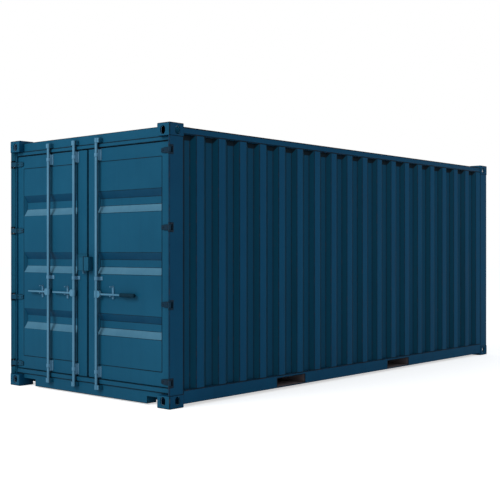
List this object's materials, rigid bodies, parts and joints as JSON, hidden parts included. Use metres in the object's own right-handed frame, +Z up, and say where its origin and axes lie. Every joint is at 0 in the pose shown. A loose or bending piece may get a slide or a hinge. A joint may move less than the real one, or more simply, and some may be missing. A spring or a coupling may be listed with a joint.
{
  "type": "shipping container",
  "caption": "Steel dry freight container with ribbed walls, hollow corner castings, a pair of hinged doors with turning lock rods, a plywood floor and fork pockets",
  "frame": {"origin": "centre of the footprint, on the ground plane under the bottom castings", "axes": "+X along the length from the door end to the closed end, +Y across towards the left leaf as seen from outside the doors, +Z up"},
  "size_m": [6.058, 2.438, 2.591],
  "materials": {
    "casting_paint": "painted cast steel, worn at the holes",
    "frame_paint": "blue-green paint on rolled and pressed steel",
    "door_paint": "blue-green paint, light dirt",
    "wall_paint": "dark blue-green paint on ribbed sheet",
    "roof_paint": "dark blue-green paint, weathered",
    "underside_paint": "dark wax coating",
    "pocket_paint": "dark paint, scuffed",
    "rod_steel": "light grey-blue galvanised and painted steel",
    "hinge_steel": "painted forged steel",
    "hinge_pin_steel": "bare pins, rusted brown",
    "lock_box_paint": "painted plate",
    "gasket_rubber": "black seal",
    "grip_rubber": "dark sleeve",
    "floor_plywood": "stained plywood, scuffed"
  },
  "bodies": {
    "container": {"cam_keepers": "rod_steel", "cross_members": "underside_paint", "door_header": "door_paint", "door_left_bottom_casting": "casting_paint", "door_left_top_casting": "casting_paint", "door_right_bottom_casting": "casting_paint", "door_right_top_casting": "casting_paint", "door_side_fork_pocket": "pocket_paint", "door_sill": "door_paint", "floor": "floor_plywood", "front_left_bottom_casting": "casting_paint", "front_left_top_casting": "casting_paint", "front_right_bottom_casting": "casting_paint", "front_right_top_casting": "casting_paint", "front_side_fork_pocket": "pocket_paint", "front_sill": "frame_paint", "front_top_rail": "frame_paint", "front_wall": "wall_paint", "header_lip_strip": "door_paint", "left_bottom_rail": "frame_paint", "left_door_post": "frame_paint", "left_front_post": "frame_paint", "left_hinge_lugs": "hinge_pin_steel", "left_side_wall": "wall_paint", "left_top_rail": "frame_paint", "right_bottom_rail": "frame_paint", "right_door_post": "frame_paint", "right_front_post": "frame_paint", "right_hinge_lugs": "hinge_pin_steel", "right_side_wall": "wall_paint", "right_top_rail": "frame_paint", "roof_corner_plates": "roof_paint", "roof_panel": "roof_paint", "sill_lip_strip": "door_paint"},
    "left_door": {"left_door_frame": "door_paint", "left_door_panel": "door_paint", "left_door_gasket": "gasket_rubber", "left_hinge_blades": "hinge_steel", "left_rod_guides": "rod_steel", "left_handle_catches": "rod_steel", "left_lock_box": "lock_box_paint", "lock_staple": "lock_box_paint"},
    "right_door": {"right_door_frame": "door_paint", "right_door_panel": "door_paint", "right_door_gasket": "gasket_rubber", "right_hinge_blades": "hinge_steel", "right_rod_guides": "rod_steel", "right_handle_catches": "rod_steel", "right_lock_box": "lock_box_paint"},
    "outer_left_rod": {"outer_left_lock_rod": "rod_steel"},
    "inner_left_rod": {"inner_left_lock_rod": "rod_steel"},
    "right_rod": {"right_lock_rod": "rod_steel"},
    "outer_left_lever": {"outer_left_handle": "rod_steel"},
    "inner_left_lever": {"inner_left_handle": "rod_steel"},
    "right_lever": {"right_handle": "rod_steel", "right_handle_grip": "grip_rubber"}
  },
  "joints": [
    {"name": "left_door_hinge", "type": "hinge", "parent": "container", "child": "left_door", "pos_m": [-3.015, 1.207, 1.2905], "axis": [0, 0, -1], "range_deg": [0, 260]},
    {"name": "right_door_hinge", "type": "hinge", "parent": "container", "child": "right_door", "pos_m": [-3.015, -1.207, 1.2905], "axis": [0, 0, 1], "range_deg": [0, 260]},
    {"name": "outer_left_rod_turn", "type": "hinge", "parent": "left_door", "child": "outer_left_rod", "pos_m": [-3.003, 0.587, 1.008], "axis": [0, 0, -1], "range_deg": [-110, 0]},
    {"name": "inner_left_rod_turn", "type": "hinge", "parent": "left_door", "child": "inner_left_rod", "pos_m": [-3.003, 0.173, 1.008], "axis": [0, 0, -1], "range_deg": [-110, 0]},
    {"name": "right_rod_turn", "type": "hinge", "parent": "right_door", "child": "right_rod", "pos_m": [-3.003, -0.173, 1.008], "axis": [0, 0, 1], "range_deg": [-110, 0]},
    {"name": "outer_left_handle_lift", "type": "hinge", "parent": "outer_left_rod", "child": "outer_left_lever", "pos_m": [-3.003, 0.633, 1.008], "axis": [1, 0, 0], "range_deg": [0, 15]},
    {"name": "inner_left_handle_lift", "type": "hinge", "parent": "inner_left_rod", "child": "inner_left_lever", "pos_m": [-3.003, 0.219, 1.008], "axis": [1, 0, 0], "range_deg": [0, 15]},
    {"name": "right_handle_lift", "type": "hinge", "parent": "right_rod", "child": "right_lever", "pos_m": [-3.003, -0.219, 1.008], "axis": [-1, 0, 0], "range_deg": [0, 15]}
  ]
}
